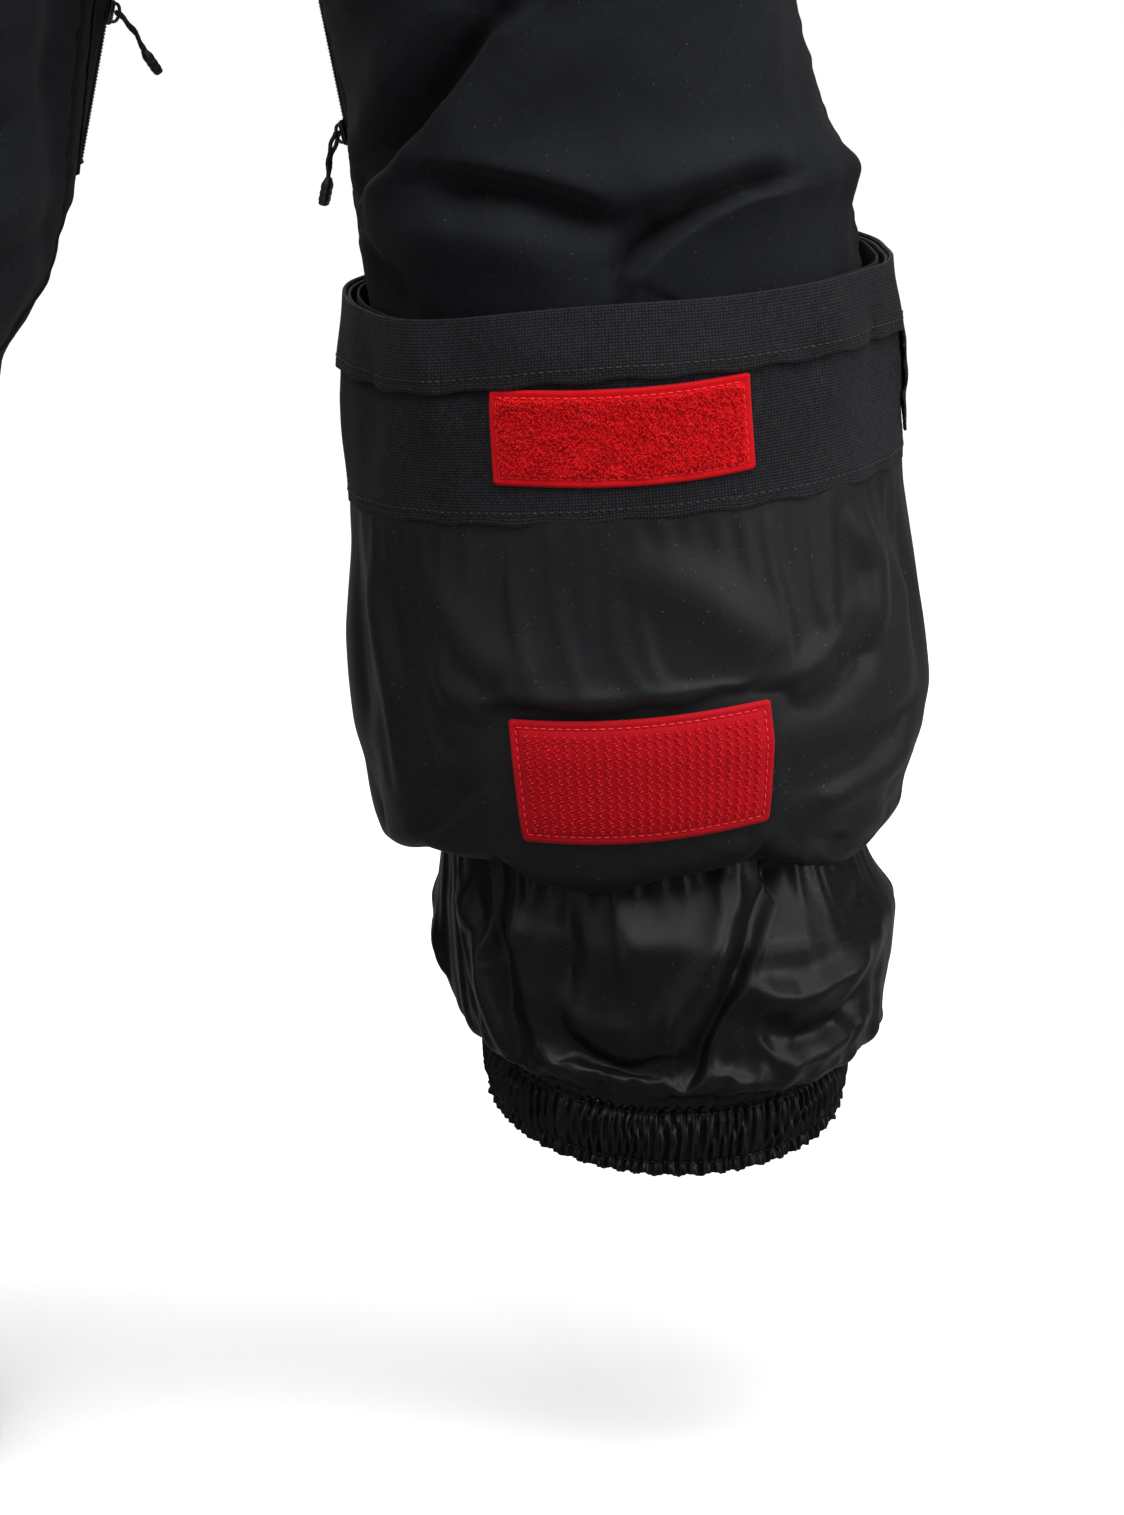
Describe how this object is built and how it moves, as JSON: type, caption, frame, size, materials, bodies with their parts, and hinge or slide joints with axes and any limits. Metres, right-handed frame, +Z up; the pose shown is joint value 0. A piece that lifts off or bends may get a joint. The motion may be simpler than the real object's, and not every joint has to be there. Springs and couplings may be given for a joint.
{
  "type": "trousers",
  "caption": "Insulated over-trousers as worn, one cuff turned up inside out with two hook-and-loop patches, with an elastic boot gaiter inside each leg.",
  "frame": {"origin": "middle of the waist opening, level with the waistband's top edge", "axes": "+Z up towards the wearer's head, -Y to the wearer's front, -X to the wearer's right"},
  "size_m": [0.5945, 0.2824, 1.0022],
  "materials": {
    "main_fabric": "matt fine plain weave, near black",
    "lining_fabric": "smooth satin lining, near black",
    "guard_fabric": "coarse heavy weave, black",
    "red_loop_pile": "brushed loop pile, red",
    "red_hook_tape": "rows of woven hooks, red",
    "zip_tape": "woven tape, black",
    "zip_coil": "satin nylon coil, black",
    "dark_metal": "dark coated metal",
    "pull_rubber": "moulded rubber, black",
    "elastic": "ribbed knitted elastic, black"
  },
  "bodies": {
    "garment": {"back_belt_loop": "main_fabric", "fly_zip_coil": "zip_coil", "fly_zip_tape": "zip_tape", "left_back_panel": "main_fabric", "left_belt_loop": "main_fabric", "left_cargo_pocket": "main_fabric", "left_cuff_guard": "guard_fabric", "left_cuff_lining": "lining_fabric", "left_front_panel": "main_fabric", "left_gaiter_skirt": "lining_fabric", "left_hem_band": "guard_fabric", "left_hook_patch": "red_hook_tape", "left_knee_patch": "guard_fabric", "left_loop_patch": "red_loop_pile", "left_pocket_zip_coil": "zip_coil", "left_pocket_zip_tape": "zip_tape", "left_vent_zip_coil": "zip_coil", "left_vent_zip_tape": "zip_tape", "right_back_panel": "main_fabric", "right_belt_loop": "main_fabric", "right_cargo_pocket": "main_fabric", "right_cuff_cloth": "main_fabric", "right_cuff_guard": "guard_fabric", "right_cuff_lining": "lining_fabric", "right_front_panel": "main_fabric", "right_gaiter_skirt": "lining_fabric", "right_hem_band": "guard_fabric", "right_hook_patch": "red_hook_tape", "right_knee_patch": "guard_fabric", "right_loop_patch": "red_loop_pile", "right_pocket_zip_coil": "zip_coil", "right_pocket_zip_tape": "zip_tape", "right_vent_zip_coil": "zip_coil", "right_vent_zip_tape": "zip_tape", "waist_snap_post": "dark_metal", "waistband": "main_fabric"},
    "right_vent_slider": {"right_vent_zip_slider": "dark_metal"},
    "right_vent_pull": {"right_vent_zip_pull": "pull_rubber"},
    "left_vent_slider": {"left_vent_zip_slider": "dark_metal"},
    "left_vent_pull": {"left_vent_zip_pull": "pull_rubber"},
    "right_pocket_slider": {"right_pocket_zip_slider": "dark_metal"},
    "right_pocket_pull": {"right_pocket_zip_pull": "pull_rubber"},
    "left_pocket_slider": {"left_pocket_zip_slider": "dark_metal"},
    "left_pocket_pull": {"left_pocket_zip_pull": "pull_rubber"},
    "fly_slider": {"fly_zip_slider": "dark_metal"},
    "fly_pull": {"fly_zip_pull": "pull_rubber"},
    "right_cargo_flap": {"right_cargo_flap": "main_fabric"},
    "left_cargo_flap": {"left_cargo_flap": "main_fabric"},
    "waist_tab": {"waist_tab": "main_fabric", "waist_snap_cap": "dark_metal"},
    "right_adjuster": {"right_adjuster_tab": "guard_fabric"},
    "left_adjuster": {"left_adjuster_tab": "guard_fabric"},
    "right_gaiter_end": {"right_gaiter_casing": "lining_fabric", "right_gaiter_elastic": "elastic", "right_gaiter_tab": "zip_tape"},
    "right_gaiter_hook": {"right_gaiter_hook": "dark_metal"},
    "left_gaiter_end": {"left_gaiter_casing": "lining_fabric", "left_gaiter_elastic": "elastic", "left_gaiter_tab": "zip_tape"},
    "left_gaiter_hook": {"left_gaiter_hook": "dark_metal"}
  },
  "joints": [
    {"name": "right_vent_slide", "type": "slide", "parent": "garment", "child": "right_vent_slider", "axis": [0.1993, -0.0066, 0.9799], "range_m": [0, 0.115]},
    {"name": "right_vent_pull_swing", "type": "hinge", "parent": "right_vent_slider", "child": "right_vent_pull", "pos_m": [-0.05045, -0.03324, -0.49847], "axis": [-0.3062, -0.9503, 0.0559], "range_deg": [-3, 40]},
    {"name": "left_vent_slide", "type": "slide", "parent": "garment", "child": "left_vent_slider", "axis": [-0.1928, 0.034, 0.9806], "range_m": [-0.045, 0.068]},
    {"name": "left_vent_pull_swing", "type": "hinge", "parent": "left_vent_slider", "child": "left_vent_pull", "pos_m": [0.03956, -0.03907, -0.44938], "axis": [-0.2988, 0.9499, -0.0917], "range_deg": [-24, 20]},
    {"name": "right_pocket_slide", "type": "slide", "parent": "garment", "child": "right_pocket_slider", "axis": [0.3059, 0.0474, 0.9509], "range_m": [-0.118, 0]},
    {"name": "right_pocket_pull_swing", "type": "hinge", "parent": "right_pocket_slider", "child": "right_pocket_pull", "pos_m": [-0.1282, -0.09836, -0.07572], "axis": [-0.7786, 0.5872, 0.2213], "range_deg": [-3, 110]},
    {"name": "left_pocket_slide", "type": "slide", "parent": "garment", "child": "left_pocket_slider", "axis": [-0.3059, 0.0474, 0.9509], "range_m": [-0.118, 0]},
    {"name": "left_pocket_pull_swing", "type": "hinge", "parent": "left_pocket_slider", "child": "left_pocket_pull", "pos_m": [0.1282, -0.09836, -0.07572], "axis": [-0.7786, -0.5872, -0.2213], "range_deg": [-3, 110]},
    {"name": "fly_slide", "type": "slide", "parent": "garment", "child": "fly_slider", "axis": [0, 0.092, 0.9958], "range_m": [-0.092, 0]},
    {"name": "fly_pull_swing", "type": "hinge", "parent": "fly_slider", "child": "fly_pull", "pos_m": [0, -0.12421, -0.05681], "axis": [-1, 0, 0], "range_deg": [-3, 75]},
    {"name": "right_cargo_flap_lift", "type": "hinge", "parent": "garment", "child": "right_cargo_flap", "pos_m": [-0.21485, -0.00602, -0.254], "axis": [0, 1, 0], "range_deg": [0, 100]},
    {"name": "left_cargo_flap_lift", "type": "hinge", "parent": "garment", "child": "left_cargo_flap", "pos_m": [0.21485, -0.00602, -0.254], "axis": [0, -1, 0], "range_deg": [0, 100]},
    {"name": "waist_tab_open", "type": "hinge", "parent": "garment", "child": "waist_tab", "pos_m": [0.04293, -0.11663, -0.02], "axis": [0, 0, 1], "range_deg": [0, 80]},
    {"name": "right_adjuster_peel", "type": "hinge", "parent": "garment", "child": "right_adjuster", "pos_m": [-0.11226, -0.08993, -0.02], "axis": [0, 0, 1], "range_deg": [0, 80]},
    {"name": "left_adjuster_peel", "type": "hinge", "parent": "garment", "child": "left_adjuster", "pos_m": [0.11226, -0.08993, -0.02], "axis": [0, 0, -1], "range_deg": [0, 80]},
    {"name": "right_gaiter_lift", "type": "slide", "parent": "garment", "child": "right_gaiter_end", "axis": [0, 0, 1], "range_m": [0, 0.06], "deforming": ["right_gaiter_skirt"]},
    {"name": "right_gaiter_hook_swing", "type": "hinge", "parent": "right_gaiter_end", "child": "right_gaiter_hook", "pos_m": [-0.186, -0.0763, -0.886], "axis": [1, 0, 0], "range_deg": [-30, 30]},
    {"name": "left_gaiter_lift", "type": "slide", "parent": "garment", "child": "left_gaiter_end", "axis": [0, 0, 1], "range_m": [0, 0.06], "deforming": ["left_gaiter_skirt"]},
    {"name": "left_gaiter_hook_swing", "type": "hinge", "parent": "left_gaiter_end", "child": "left_gaiter_hook", "pos_m": [0.191, -0.0698, -0.8965], "axis": [1, 0, 0], "range_deg": [-30, 30]}
  ]
}
